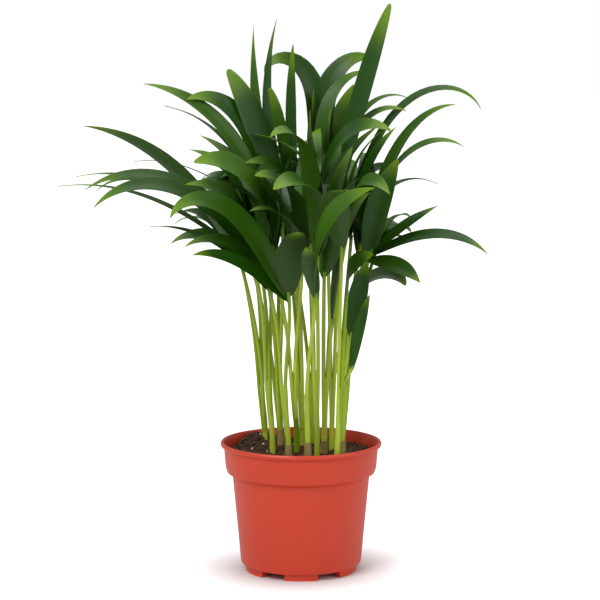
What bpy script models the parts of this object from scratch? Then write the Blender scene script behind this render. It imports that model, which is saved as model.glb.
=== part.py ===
"""Potted areca palm: a clay-red nursery pot of soil, fifteen short canes and forty fronds.

Lengths are in millimetres and angles in degrees; meshes are written in metres, +Z up, with the
pot standing on z = 0 and its axis on the origin. The photographed side faces -Y.
"""

import math
import random
from collections import namedtuple

import bmesh
import bpy
import numpy as np
from mathutils.bvhtree import BVHTree

MM = 0.001
GAP = 0.3

# Pot
POT_HEIGHT = 96.3
RIM_RADIUS = 60.0
BAND_FOOT_Z = 77.5
BAND_RADIUS = 56.2
BODY_TOP_RADIUS = 51.1
BODY_FOOT_RADIUS = 45.0
BASE_RADIUS = 42.3
WALL = 1.5
FOOT_HEIGHT = 4.6
FOOT_RADIUS = 41.8
FOOT_WIDTH = 5.0
FOOT_SPAN = 34.0
FOOT_COUNT = 6
PAD_RADIUS = 8.0
POT_SIDES = 48

# Soil
SOIL_LEVEL = 88.0
MOUND_PLACE = (-34.0, 38.0)
MOUND_HEIGHT = 8.0
MOUND_SPREAD = 13.0

# Canes and petioles
CANE_FOOT_RADIUS = 2.3
CANE_TOP_RADIUS = 1.8
CANE_SIDES = 8
PETIOLE_RADIUS = 1.25
PETIOLE_TIP_RADIUS = 1.1
PETIOLE_SIDES = 6
PETIOLE_RINGS = 6

# Leaflets
PATH_STEPS = 48
ROOT_SUNK = 4.0
ROOT_STEP = 2.0
LEAF_THICKNESS = 1.5
LEAF_SLENDERNESS = 95.0
ROOT_HALF_WIDTH = 1.0
FOLD = 0.16
WIDTH_RISE = 0.55
CLEARANCE = 0.3
SWING_STEP = 3.0
SWING_REACH = 60.0

# How a kind of leaflet narrows to its tip, how late along it the bend comes, and its stations
Kind = namedtuple("Kind", "taper bend_power segments")
KINDS = {
    "strap": Kind(0.30, 1.6, 6),
    "blade": Kind(0.50, 1.6, 6),
    "lance": Kind(0.75, 1.6, 6),
    "thread": Kind(1.00, 1.6, 6),
    "hook": Kind(0.65, 3.2, 8),
    "arch": Kind(0.55, 5.0, 8),
}

# A bearing is measured from +X towards +Y, a lift above the horizon where the leaflet starts, a bend is how far
# it has turned down at its tip, a sway how far it has turned sideways, and a roll tips its face about its length.
Leaflet = namedtuple("Leaflet", "kind bearing lift bend length sway width roll")
Frond = namedtuple("Frond", "cane node leaflets")
Cane = namedtuple("Cane", "foot top")

CANES = [
    Cane((-27, 28), (-30, 24, 135)),
    Cane((-21, -2), (-24, 0, 142)),
    Cane((-9, -18), (-13, -12, 140)),
    Cane((-3, 2), (-6, -14, 150)),
    Cane((1, 22), (0, 14, 138)),
    Cane((5, -46), (4, -42, 138)),
    Cane((12, -16), (11, -18, 152)),
    Cane((17, -4), (18, -6, 145)),
    Cane((23, 12), (24, 12, 142)),
    Cane((26, -42), (29, -38, 142)),
    Cane((30, -24), (33, -20, 142)),
    Cane((30, 26), (32, 24, 134)),
    Cane((-15, 24), (-18, 28, 134)),
    Cane((8, 36), (8, 40, 137)),
    Cane((18, 36), (19, 42, 136)),
]

# Fronds as they stand on the photographed side: cane, place of the node that the leaflets spring from, leaflets
FRONDS = {
    "front_olive": Frond(3, (-9, -46, 213), [
        Leaflet("blade", -84, 70, 56, 70, 6, 19, 0),
        Leaflet("hook", -178, 62, 128, 130, 29, 19, -50),
        Leaflet("lance", 178, 46, 54, 89, 50, 12, -50),
    ]),
    "low_left": Frond(3, (-24, -30, 217), [
        Leaflet("lance", -159, 64, 98, 83, 2, 11, -50),
        Leaflet("thread", 164, 48, 53, 104, 17, 7, -30),
    ]),
    "left_reach": Frond(2, (-36, -20, 235), [
        Leaflet("lance", -170, 59, 104, 148, 19, 14, -45),
        Leaflet("thread", 171, 40, 48, 160, 10, 7, -20),
    ]),
    "left_arch": Frond(2, (-33, -6, 243), [
        Leaflet("lance", -175, 53, 87, 150, 15, 12, -40),
        Leaflet("lance", -115, 67, 78, 95, -41, 14, -50),
    ]),
    "left_back": Frond(1, (-40, 16, 247), [
        Leaflet("thread", 163, 39, 52, 149, 6, 7, -30),
        Leaflet("hook", -166, 39, 83, 131, -10, 9, -30),
    ]),
    "left_high": Frond(1, (-47, 24, 234), [
        Leaflet("lance", -168, 62, 56, 161, 2, 13, 45),
        Leaflet("lance", 127, 49, 73, 92, 7, 9, -30),
    ]),
    "left_broad": Frond(4, (-21, -24, 245), [
        Leaflet("blade", -128, 81, 98, 108, -26, 20, -55),
        Leaflet("blade", -166, 94, 59, 67, 52, 15, -60),
    ]),
    "upper_left": Frond(13, (-14, 12, 259), [
        Leaflet("hook", 180, 74, 99, 135, 31, 20, -60),
        Leaflet("strap", 179, 80, 24, 126, 21, 18, -80),
    ]),
    "upper_reach": Frond(2, (-24, 0, 258), [
        Leaflet("lance", -163, 76, 70, 151, -13, 14, -50),
        Leaflet("thread", 149, 72, 63, 131, 21, 6, -20),
        Leaflet("lance", 170, 69, 60, 91, -2, 12, -45),
    ]),
    "inner_left": Frond(13, (-20, 36, 254), [
        Leaflet("lance", 172, 69, 49, 96, -11, 11, -40),
        Leaflet("thread", 156, 78, -14, 158, -7, 10, -75),
        Leaflet("lance", 167, 48, 57, 130, -1, 4, 0),
        Leaflet("lance", -160, 51, 67, 100, -15, 12, 20),
    ]),
    "top_left": Frond(5, (-8, 26, 258), [
        Leaflet("lance", 171, 73, -35, 157, 40, 9, -70),
        Leaflet("strap", -113, 80, 14, 110, -18, 18, -80),
    ]),
    "top_spike": Frond(5, (-4, -2, 255), [
        Leaflet("blade", 119, 84, -11, 139, 18, 9, -70),
        Leaflet("lance", -110, 84, 102, 90, -36, 15, -50),
    ]),
    "top_arch": Frond(14, (11, 46, 269), [
        Leaflet("arch", 180, 92, 200, 148, 0, 16, -70),
        Leaflet("arch", 0, 87, 128, 142, 0, 18, 70),
        Leaflet("blade", -98, 91, 14, 95, -5, 12, 80),
    ]),
    "top_right_back": Frond(15, (18, 40, 266), [
        Leaflet("hook", 43, 95, 119, 133, -28, 11, 40),
        Leaflet("blade", -51, 87, 28, 104, 35, 14, -70),
        Leaflet("blade", -82, 78, 5, 87, 6, 15, 90),
    ]),
    "tall_strap": Frond(9, (20, 6, 255), [
        Leaflet("strap", -12, 78, 8, 174, 17, 12.5, 80),
        Leaflet("blade", -156, 75, -2, 96, 60, 14, 90),
    ]),
    "centre_pair": Frond(7, (8, -26, 252), [
        Leaflet("hook", -90, 78, 119, 115, -46, 20, -30),
        Leaflet("hook", -70, 73, 112, 128, 49, 20, 50),
        Leaflet("lance", -11, 77, 44, 105, -8, 12, -30),
    ]),
    "centre_front": Frond(7, (12, -44, 243), [
        Leaflet("blade", -84, 80, 114, 101, -55, 22, -30),
        Leaflet("blade", -55, 67, 18, 94, -9, 22, 30),
    ]),
    "centre_glossy": Frond(4, (1, -22, 243), [
        Leaflet("blade", -91, 75, 82, 93, -54, 21, -30),
        Leaflet("lance", -122, 61, 78, 74, -14, 13, -20),
    ]),
    "right_high": Frond(9, (30, 16, 251), [
        Leaflet("hook", -5, 72, 139, 176, -7, 9, 40),
        Leaflet("hook", 34, 89, 118, 138, -24, 8, 30),
        Leaflet("hook", 0, 89, 118, 129, -18, 12, 40),
    ]),
    "right_blade": Frond(12, (37, -2, 250), [
        Leaflet("lance", -55, 78, 38, 96, 23, 15, 60),
        Leaflet("thread", -24, 98, 63, 90, -3, 9, 40),
    ]),
    "right_reach": Frond(12, (45, 10, 246), [
        Leaflet("hook", 3, 72, 70, 133, -27, 12, 45),
        Leaflet("hook", -56, 64, 100, 129, 45, 10, 40),
        Leaflet("thread", 56, 74, 103, 95, -54, 7, 20),
    ]),
    "right_curl": Frond(10, (29, -56, 250), [
        Leaflet("lance", -70, 81, 129, 95, 17, 17, 40),
        Leaflet("blade", -121, 62, 61, 77, 59, 20, 0),
    ]),
    "right_low": Frond(11, (52, -12, 241), [
        Leaflet("lance", -26, 42, 16, 62, 23, 9.5, 45),
        Leaflet("lance", -11, 30, 71, 97, -21, 10, 40),
        Leaflet("lance", -55, 0, 26, 67, -6, 14, 30),
        Leaflet("blade", 10, 83, 24, 79, 2, 16, 70),
    ]),
    "right_front": Frond(10, (33, -42, 214), [
        Leaflet("blade", -75, 80, 72, 42, 60, 15, 60),
    ]),
    "front_green": Frond(6, (11, -66, 215), [
        Leaflet("lance", -72, 90, 77, 102, 60, 19, 60),
        Leaflet("blade", -125, 70, 25, 46, 31, 11, 0),
    ]),
    "front_brown": Frond(8, (17, -28, 226), [
        Leaflet("lance", -58, 74, 45, 77, 34, 15, -60),
        Leaflet("blade", -122, 83, 31, 44, 21, 13, 90),
    ]),
    "right_sword": Frond(8, (23, -20, 191), [
        Leaflet("blade", -53, 83, 16, 85, 10, 13, 70),
    ]),
    "right_lance": Frond(11, (37, -22, 181), [
        Leaflet("blade", 25, 82, 14, 57, 1, 13, 70),
    ]),
    "right_sprig": Frond(10, (38, -34, 158), [
        Leaflet("blade", 0, 81, 11, 57, 0, 8, 70),
    ]),
    "right_inner": Frond(12, (47, 20, 227), [
        Leaflet("blade", -99, 65, -12, 55, -15, 13, 70),
        Leaflet("blade", -48, 78, -7, 62, 27, 15, 70),
    ]),
}

# Fronds behind the ones that the photographed side shows: the cane each rises from, and its bearing
REAR_FRONDS = ((14, 95), (15, 65), (13, 130), (9, 35), (1, 150), (5, 110), (14, 130), (15, 40), (12, 20), (13, 165))
REAR_NODE_HEIGHTS = (205.0, 285.0)
REAR_NODE_LEAN = (14.0, 34.0)
REAR_SPREAD = (-42.0, 0.0, 40.0)
REAR_LENGTHS = (85.0, 150.0)
REAR_WIDTHS = (13.0, 19.0)
REAR_LIFTS = (42.0, 84.0)
REAR_BENDS = (55.0, 115.0)
CROWN_CENTRE = (-12.0, 20.0, 245.0)
CROWN_RADII = (96.0, 130.0, 105.0)
REAR_SEED = 11

CANE_COLOUR = (0.235, 0.360, 0.035)
FROND_COLOUR = (0.030, 0.110, 0.010)
POT_COLOUR = (0.617, 0.069, 0.028)
SOIL_COLOUR = (0.035, 0.016, 0.008)


def clear_scene():
    for item in list(bpy.data.objects):
        bpy.data.objects.remove(item, do_unlink=True)


def make_material(name, colour, roughness):
    material = bpy.data.materials.new(name)
    material.use_nodes = True
    shader = material.node_tree.nodes["Principled BSDF"]
    shader.inputs["Base Color"].default_value = (*colour, 1.0)
    shader.inputs["Roughness"].default_value = roughness
    shader.inputs["Metallic"].default_value = 0.0
    return material


def unit(vector):
    return vector / np.linalg.norm(vector)


def make_solid(name, points, faces, material, smooth=None):
    """One object from points in millimetres; smooth is the crease angle, or None for flat facets."""
    bm = bmesh.new()
    verts = [bm.verts.new(tuple(float(c) * MM for c in point)) for point in points]
    for face in faces:
        bm.faces.new([verts[k] for k in face])
    bmesh.ops.triangulate(bm, faces=bm.faces[:])
    bmesh.ops.recalc_face_normals(bm, faces=bm.faces[:])
    mesh = bpy.data.meshes.new(name)
    bm.to_mesh(mesh)
    bm.free()
    mesh.materials.append(material)
    if smooth is not None:
        mesh.shade_smooth()
        mesh.set_sharp_from_angle(angle=math.radians(smooth))
    item = bpy.data.objects.new(name, mesh)
    bpy.context.collection.objects.link(item)
    return item


def join_by_boolean(item, pieces, name):
    """Fuses pieces onto item with one union over their collection, which then goes."""
    group = bpy.data.collections.new(name + "_pieces")
    bpy.context.scene.collection.children.link(group)
    for piece in pieces:
        bpy.context.collection.objects.unlink(piece)
        group.objects.link(piece)
    union = item.modifiers.new("fuse", "BOOLEAN")
    union.operation = "UNION"
    union.operand_type = "COLLECTION"
    union.collection = group
    union.solver = "EXACT"
    fused = fused_mesh(item)
    if not is_closed(fused):
        union.solver = "MANIFOLD"
        fused = fused_mesh(item)
    keep_outer_shell(fused)
    item.modifiers.remove(union)
    item.data = fused
    for piece in pieces:
        bpy.data.objects.remove(piece, do_unlink=True)
    bpy.data.collections.remove(group)
    return item


def fused_mesh(item):
    bpy.context.view_layer.update()
    graph = bpy.context.evaluated_depsgraph_get()
    graph.update()
    return bpy.data.meshes.new_from_object(item.evaluated_get(graph), depsgraph=graph)


def is_closed(mesh):
    bm = bmesh.new()
    bm.from_mesh(mesh)
    closed = len(bm.faces) > 0 and all(len(edge.link_faces) == 2 for edge in bm.edges)
    bm.free()
    return closed


def shells_of(bm):
    """The faces of each connected shell."""
    shells = []
    reached = set()
    for seed in bm.faces:
        if seed in reached:
            continue
        shell = []
        waiting = [seed]
        while waiting:
            face = waiting.pop()
            if face in reached:
                continue
            reached.add(face)
            shell.append(face)
            waiting.extend(other for edge in face.edges for other in edge.link_faces)
        shells.append(shell)
    return shells


def keep_outer_shell(mesh):
    """Fills any pocket that leaflets lying face to face have closed between them."""
    bm = bmesh.new()
    bm.from_mesh(mesh)
    shells = sorted(shells_of(bm), key=len)
    spare = [face for shell in shells[:-1] for face in shell]
    if spare:
        bmesh.ops.delete(bm, geom=spare, context="FACES")
        bm.to_mesh(mesh)
    bm.free()


def turned(name, profile, sides, material):
    """A solid of revolution: profile is (radius, height) from the axis out and back to the axis."""
    points = []
    rings = []
    for radius, height in profile:
        if radius == 0.0:
            rings.append([len(points)])
            points.append((0.0, 0.0, height))
            continue
        start = len(points)
        for k in range(sides):
            angle = math.tau * k / sides
            points.append((radius * math.cos(angle), radius * math.sin(angle), height))
        rings.append(list(range(start, start + sides)))
    return make_solid(name, points, bridged(rings, sides), material, smooth=35)


def bridged(rings, sides):
    """Triangles between rings of sides points; a ring of one point closes to it."""
    faces = []
    for lower, upper in zip(rings, rings[1:]):
        for k in range(sides):
            following = (k + 1) % sides
            if len(lower) > 1:
                faces.append((lower[k], lower[following], upper[following if len(upper) > 1 else 0]))
            if len(upper) > 1:
                faces.append((lower[k if len(lower) > 1 else 0], upper[following], upper[k]))
    return faces


def fan(ring):
    """Triangles that close a ring."""
    return [(ring[0], ring[k], ring[k + 1]) for k in range(1, len(ring) - 1)]


def pot_outside():
    """The outer profile from the middle of the underside up to the lip."""
    return [
        (0.0, FOOT_HEIGHT),
        (BASE_RADIUS, FOOT_HEIGHT),
        (BODY_FOOT_RADIUS - 0.8, FOOT_HEIGHT + 0.8),
        (BODY_FOOT_RADIUS, FOOT_HEIGHT + 2.4),
        (BODY_TOP_RADIUS, BAND_FOOT_Z - 6.0),
        (BAND_RADIUS - 1.2, BAND_FOOT_Z - 3.6),
        (BAND_RADIUS, BAND_FOOT_Z),
        (RIM_RADIUS - 2.6, POT_HEIGHT - 4.6),
        (RIM_RADIUS - 0.5, POT_HEIGHT - 2.9),
        (RIM_RADIUS, POT_HEIGHT - 1.2),
        (RIM_RADIUS - 0.6, POT_HEIGHT),
    ]


def pot_inside(inset=0.0):
    """The wall's inner profile from the lip down to the floor, or one inset from it."""
    floor = FOOT_HEIGHT + WALL + inset
    return [
        (RIM_RADIUS - 2.2 - inset, POT_HEIGHT),
        (RIM_RADIUS - 2.6 - WALL - inset, POT_HEIGHT - 4.6),
        (BAND_RADIUS - WALL - inset, BAND_FOOT_Z - 1.0),
        (BODY_TOP_RADIUS - WALL - inset, BAND_FOOT_Z - 6.5),
        (BODY_FOOT_RADIUS - WALL - inset, floor),
        (0.0, floor),
    ]


def arc_block(name, radius, width, span, facing, low, high, material):
    """A block bent round the axis: a foot of the pot."""
    steps = 6
    points = []
    for height in (low, high):
        for reach in (radius - width, radius):
            for k in range(steps + 1):
                angle = math.radians(facing + span * (k / steps - 0.5))
                points.append((reach * math.cos(angle), reach * math.sin(angle), height))
    row = steps + 1
    inner_low, outer_low, inner_high, outer_high = (range(row * k, row * k + row) for k in range(4))
    faces = []
    for k in range(steps):
        faces.append((inner_low[k], inner_low[k + 1], outer_low[k + 1], outer_low[k]))
        faces.append((inner_high[k], outer_high[k], outer_high[k + 1], inner_high[k + 1]))
        faces.append((outer_low[k], outer_low[k + 1], outer_high[k + 1], outer_high[k]))
        faces.append((inner_low[k], inner_high[k], inner_high[k + 1], inner_low[k + 1]))
    for k in (0, steps):
        faces.append((inner_low[k], outer_low[k], outer_high[k], inner_high[k]))
    return make_solid(name, points, faces, material)


def make_pot(material):
    pot = turned("pot", pot_outside() + pot_inside(), POT_SIDES, material)
    sunk = FOOT_HEIGHT + 0.5 * WALL
    feet = [
        arc_block(f"foot_{k}", FOOT_RADIUS, FOOT_WIDTH, FOOT_SPAN, -90.0 + 360.0 * k / FOOT_COUNT, 0.0, sunk, material)
        for k in range(FOOT_COUNT)
    ]
    pad = turned("pad", [(0.0, 0.0), (PAD_RADIUS, 0.0), (PAD_RADIUS, sunk), (0.0, sunk)], 16, material)
    return join_by_boolean(pot, feet + [pad], "pot")


def soil_height(x, y):
    """The soil's top: level, with a mound that rises to the rim behind the left-hand stems."""
    away = (x - MOUND_PLACE[0]) ** 2 + (y - MOUND_PLACE[1]) ** 2
    return SOIL_LEVEL + MOUND_HEIGHT * math.exp(-away / (2.0 * MOUND_SPREAD**2))


def make_soil(material):
    """A plug that fills the pot, a gap clear of its wall, with a mounded top."""
    wall = [point for point in reversed(pot_inside(GAP)) if point[1] < SOIL_LEVEL - 4.0]
    edge = wall[-1][0] + 0.4
    points = []
    rings = []
    for radius, height in wall + [(edge, SOIL_LEVEL - 3.0)]:
        ring = []
        for k in range(1 if radius == 0.0 else POT_SIDES):
            angle = math.tau * k / POT_SIDES
            ring.append(len(points))
            points.append((radius * math.cos(angle), radius * math.sin(angle), height))
        rings.append(ring)
    for share in (0.94, 0.84, 0.7, 0.52, 0.28, 0.0):
        radius = edge * share
        ring = []
        for k in range(1 if radius == 0.0 else POT_SIDES):
            angle = math.tau * k / POT_SIDES
            x = radius * math.cos(angle)
            y = radius * math.sin(angle)
            ring.append(len(points))
            points.append((x, y, soil_height(x, y)))
        rings.append(ring)
    return make_solid("soil", points, bridged(rings, POT_SIDES), material, smooth=40)


def tube_shape(line, radii, sides, level_top=False):
    """Points and faces of a limb along line, square to it all the way and cut level at its foot."""
    tangents = np.gradient(line, axis=0)
    tangents[0] = (0.0, 0.0, 1.0)
    if level_top:
        tangents[-1] = (0.0, 0.0, 1.0)
    side = np.array((1.0, 0.0, 0.0))
    points = []
    rings = []
    for place, tangent, radius in zip(line, tangents, radii):
        tangent = unit(tangent)
        side = unit(side - tangent * (side @ tangent))
        other = np.cross(tangent, side)
        ring = []
        for k in range(sides):
            angle = math.tau * (k + 0.5) / sides
            ring.append(len(points))
            points.append(place + radius * (math.cos(angle) * side + math.sin(angle) * other))
        rings.append(ring)
    return points, bridged(rings, sides) + fan(rings[0]) + fan(rings[-1])


def bezier(corners, share):
    a, b, c, d = corners
    rest = 1.0 - share
    return rest**3 * a + 3.0 * share * rest**2 * b + 3.0 * share**2 * rest * c + share**3 * d


def cane_line(cane):
    """From the soil, a gap clear of it, to the cane's top."""
    x, y = cane.foot
    ground = max(
        soil_height(x + CANE_FOOT_RADIUS * math.cos(turn), y + CANE_FOOT_RADIUS * math.sin(turn))
        for turn in np.linspace(0.0, math.tau, 9)
    )
    foot = np.array((x, y, ground + GAP))
    top = np.array(cane.top, dtype=float)
    start = foot + (0.0, 0.0, 0.35 * (top[2] - foot[2]))
    end = top - 0.35 * (top - foot)
    return np.array([bezier((foot, start, end, top), k / 4.0) for k in range(5)])


def path_points(leaflet, root):
    """The leaflet's midrib at PATH_STEPS + 1 even steps, with its tangents and level left-hand directions."""
    power = KINDS[leaflet.kind].bend_power
    share = np.arange(PATH_STEPS + 1) / PATH_STEPS
    middle = (share[1:] + share[:-1]) / 2.0

    def directions(place):
        lift = np.radians(leaflet.lift - leaflet.bend * place**power)
        bearing = np.radians(leaflet.bearing + leaflet.sway * place)
        level = np.stack([np.cos(bearing), np.sin(bearing)], axis=1) * np.cos(lift)[:, None]
        return np.column_stack([level, np.sin(lift)]), bearing

    steps, _ = directions(middle)
    line = np.vstack([np.zeros(3), np.cumsum(steps, axis=0)]) * leaflet.length / PATH_STEPS + root
    tangents, bearing = directions(share)
    left = np.stack([-np.sin(bearing), np.cos(bearing), np.zeros_like(bearing)], axis=1)
    return share, line, tangents, left


def half_widths(leaflet, share):
    """Half the leaflet's width: a quick rise from its root, then its kind's taper to the tip."""
    taper = KINDS[leaflet.kind].taper
    total = WIDTH_RISE + taper
    peak = (WIDTH_RISE / total) ** WIDTH_RISE * (taper / total) ** taper
    half = 0.5 * leaflet.width * share**WIDTH_RISE * (1.0 - share) ** taper / peak
    return np.maximum(half, ROOT_HALF_WIDTH * (1.0 - share))


def leaf_frame(leaflet, root, swing):
    """Stations along the leaflet: share, centre, across, face normal and half width.

    A swing carries the tip that far in depth and leaves the root where it is.
    """
    share, line, tangents, left = path_points(leaflet, root)
    line = line + np.outer(swing * share**1.5, (0.0, 1.0, 0.0))
    every = PATH_STEPS // KINDS[leaflet.kind].segments
    share, line, tangents, left = (values[::every] for values in (share, line, tangents, left))
    roll = math.radians(leaflet.roll)
    across = left * math.cos(roll) + np.cross(tangents, left) * math.sin(roll)
    normal = np.cross(tangents, across)
    return share, line, across, normal, half_widths(leaflet, share)


def blade_shape(leaflet, root, swing, margin=0.0):
    """Points and faces of a folded blade with a lens-shaped section, grown by margin for a clearance test."""
    _, line, across, normal, half = leaf_frame(leaflet, root, swing)
    thickness = max(LEAF_THICKNESS, leaflet.length / LEAF_SLENDERNESS) / 2.0 + margin
    points = []
    rings = []
    for centre, side, up, width in zip(line[:-1], across, normal, half):
        edge = side * (width + margin)
        lifted = up * (width * FOLD)
        rings.append(range(len(points), len(points) + 4))
        points.extend((centre - edge + lifted, centre + up * thickness, centre + edge + lifted, centre - up * thickness))
    rings.append((len(points),))
    points.append(line[-1])
    return points, bridged(rings, 4) + fan(rings[0])


def seats(count):
    """Where petioles stand side by side on one cane's top."""
    if count == 1:
        return [np.zeros(3)]
    reach = (PETIOLE_RADIUS + GAP) / math.sin(math.pi / count)
    return [
        np.array((reach * math.cos(turn), reach * math.sin(turn), 0.0))
        for turn in (math.pi + math.tau * k / count for k in range(count))
    ]


def petiole_line(foot, node, heading):
    """A gentle curve up from the cane's top to the node, leaning the way the leaflets go."""
    away = node - foot
    reach = 0.36 * np.linalg.norm(away)
    start = foot + unit(away * (0.4, 0.4, 1.0)) * reach
    end = node - heading * reach
    share = np.linspace(0.0, 1.0, PETIOLE_RINGS)
    return np.array([bezier((foot, start, end, node), step) for step in share])


def heading_of(frond, foot, node):
    """The petiole's direction at its node: on from its foot, drawn a little towards the leaflets."""
    middles = [path_points(leaflet, node)[1][PATH_STEPS // 2] - node for leaflet in frond.leaflets]
    return unit(unit(node - foot) * 1.2 + unit(np.mean(middles, axis=0)) * 0.35)


def rear_fronds(draw):
    """The fronds at the back, by a seeded rule: each leaflet ends inside the crown's ellipsoid."""
    centre = np.array(CROWN_CENTRE)
    radii = np.array(CROWN_RADII)
    fronds = {}
    for k, (cane, bearing) in enumerate(REAR_FRONDS):
        top = np.array(CANES[cane - 1].top, dtype=float)
        lean = draw.uniform(*REAR_NODE_LEAN)
        turn = math.radians(bearing)
        height = draw.uniform(*REAR_NODE_HEIGHTS)
        node = np.array((top[0] + lean * math.cos(turn), top[1] + lean * math.sin(turn), height))
        leaflets = []
        for spread in REAR_SPREAD:
            leaflet = Leaflet(
                draw.choice(("lance", "blade", "hook")),
                bearing + spread + draw.uniform(-10.0, 10.0),
                draw.uniform(*REAR_LIFTS),
                draw.uniform(*REAR_BENDS),
                draw.uniform(*REAR_LENGTHS),
                draw.uniform(-15.0, 15.0),
                draw.uniform(*REAR_WIDTHS),
                draw.uniform(-35.0, 35.0),
            )
            while leaflet.length > 40.0:
                tip = path_points(leaflet, node)[1][-1]
                if np.linalg.norm((tip - centre) / radii) < 1.0:
                    break
                leaflet = leaflet._replace(length=leaflet.length - 5.0)
            leaflets.append(leaflet)
        fronds[f"rear_{k + 1:02d}"] = Frond(cane, tuple(node), leaflets)
    return fronds


class Space:
    """What is already standing, node by node, so that what comes next can be kept clear of it."""

    def __init__(self):
        self.taken = []

    def add(self, owner, points, faces):
        cloud = np.array(points)
        tree = BVHTree.FromPolygons([tuple(point) for point in points], faces)
        self.taken.append((owner, cloud.min(axis=0), cloud.max(axis=0), tree))

    def is_clear(self, owner, points, faces):
        cloud = np.array(points)
        low = cloud.min(axis=0)
        high = cloud.max(axis=0)
        tree = BVHTree.FromPolygons([tuple(point) for point in points], faces)
        for other, other_low, other_high, other_tree in self.taken:
            if other == owner or np.any(low > other_high) or np.any(high < other_low):
                continue
            if tree.overlap(other_tree):
                return False
        return True


def swings():
    """Depths to try, from none outwards on both sides."""
    yield 0.0
    depth = SWING_STEP
    while depth <= SWING_REACH:
        yield -depth
        yield depth
        depth += SWING_STEP


def grow(canes, fronds):
    """Settles every petiole and leaflet clear of every other node.

    Returns each frond's petiole line and its leaflets as (leaflet, root, swing).
    """
    space = Space()
    for number, cane in enumerate(canes):
        radii = np.linspace(CANE_FOOT_RADIUS, CANE_TOP_RADIUS, 5) + CLEARANCE
        space.add(f"cane_{number + 1:02d}", *tube_shape(cane_line(cane), radii, CANE_SIDES, True))
    feet = seated_feet(canes, fronds)
    petioles = {}
    for name, frond in fronds.items():
        for swing in swings():
            node = np.array(frond.node, dtype=float) + (0.0, swing, 0.0)
            heading = heading_of(frond, feet[name], node)
            line = petiole_line(feet[name], node, heading)
            tested = tube_shape(line, np.full(PETIOLE_RINGS, PETIOLE_RADIUS + 0.5 * CLEARANCE), PETIOLE_SIDES)
            if space.is_clear(name, *tested):
                break
        space.add(name, *tested)
        petioles[name] = (line, heading)
    grown = {}
    for name, frond in fronds.items():
        line, heading = petioles[name]
        leaves = []
        for k, leaflet in enumerate(frond.leaflets):
            root = line[-1] - heading * (ROOT_SUNK + ROOT_STEP * k)
            for swing in swings():
                tested = blade_shape(leaflet, root, swing, CLEARANCE)
                if space.is_clear(name, *tested):
                    space.add(name, *tested)
                    leaves.append((leaflet, root, swing))
                    break
        grown[name] = (line, leaves)
    return grown


def seated_feet(canes, fronds):
    """Each petiole's foot on its cane's top, the ones that lean furthest left on the left-hand seats."""
    feet = {}
    for number, cane in enumerate(canes):
        top = np.array(cane.top, dtype=float) + (0.0, 0.0, GAP)
        standing = [name for name, frond in fronds.items() if frond.cane == number + 1]
        standing.sort(key=lambda name: fronds[name].node[0])
        places = sorted(seats(max(1, len(standing))), key=lambda place: place[0])
        for name, place in zip(standing, places):
            feet[name] = top + place
    return feet


def make_canes(canes, material):
    for number, cane in enumerate(canes):
        radii = np.linspace(CANE_FOOT_RADIUS, CANE_TOP_RADIUS, 5)
        shape = tube_shape(cane_line(cane), radii, CANE_SIDES, True)
        make_solid(f"cane_{number + 1:02d}", *shape, material, smooth=60)


def make_fronds(grown, material):
    """Each frond is one node: its petiole, with its leaflets fused to the end of it."""
    for name, (line, leaves) in grown.items():
        radii = np.linspace(PETIOLE_RADIUS, PETIOLE_TIP_RADIUS, PETIOLE_RINGS)
        petiole = make_solid(f"frond_{name}", *tube_shape(line, radii, PETIOLE_SIDES), material)
        blades = [
            make_solid(f"{name}_leaf_{k}", *blade_shape(leaflet, root, swing), material)
            for k, (leaflet, root, swing) in enumerate(leaves)
        ]
        join_by_boolean(petiole, blades, name)


def main():
    clear_scene()
    pot_material = make_material("pot_plastic", POT_COLOUR, 0.45)
    soil_material = make_material("potting_soil", SOIL_COLOUR, 0.95)
    cane_material = make_material("cane_green", CANE_COLOUR, 0.5)
    frond_material = make_material("leaf_green", FROND_COLOUR, 0.4)
    make_pot(pot_material)
    make_soil(soil_material)
    make_canes(CANES, cane_material)
    fronds = {**FRONDS, **rear_fronds(random.Random(REAR_SEED))}
    make_fronds(grow(CANES, fronds), frond_material)


main()
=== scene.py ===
"""Potted areca palm: the finished look of the plant, its pot and its soil, with a plain stage.

The frame's solids give the places and sizes; the foliage grows again here by the same rule, finer.
The plant is in millimetres and degrees until a mesh is written, and the stage in metres.
"""

import math
import random
from collections import namedtuple

import bmesh
import bpy
import numpy as np
from bpy.props import FloatProperty, FloatVectorProperty, IntProperty, PointerProperty
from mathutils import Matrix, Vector, noise
from mathutils.bvhtree import BVHTree


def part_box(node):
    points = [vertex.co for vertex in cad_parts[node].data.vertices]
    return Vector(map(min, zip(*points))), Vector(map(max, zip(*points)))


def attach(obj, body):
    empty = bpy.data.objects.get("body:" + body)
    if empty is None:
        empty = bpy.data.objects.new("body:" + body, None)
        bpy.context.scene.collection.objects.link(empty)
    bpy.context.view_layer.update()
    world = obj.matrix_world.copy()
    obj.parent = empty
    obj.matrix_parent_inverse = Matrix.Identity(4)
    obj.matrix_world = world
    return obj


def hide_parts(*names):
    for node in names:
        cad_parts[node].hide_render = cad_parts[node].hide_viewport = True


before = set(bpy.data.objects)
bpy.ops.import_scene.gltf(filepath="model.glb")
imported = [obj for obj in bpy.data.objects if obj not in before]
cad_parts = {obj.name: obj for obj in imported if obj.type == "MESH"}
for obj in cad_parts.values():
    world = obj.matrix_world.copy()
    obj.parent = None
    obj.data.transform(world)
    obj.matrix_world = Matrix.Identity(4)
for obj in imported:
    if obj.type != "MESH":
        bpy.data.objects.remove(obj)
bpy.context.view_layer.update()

bl_info = {
    "name": "Potted Areca Palm",
    "version": (1, 0, 0),
    "blender": (4, 5, 0),
    "location": "View3D > Sidebar > Palm",
    "description": "Builds a young areca palm in a nursery pot, with soil and a plain stage",
    "category": "Object",
}

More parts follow.
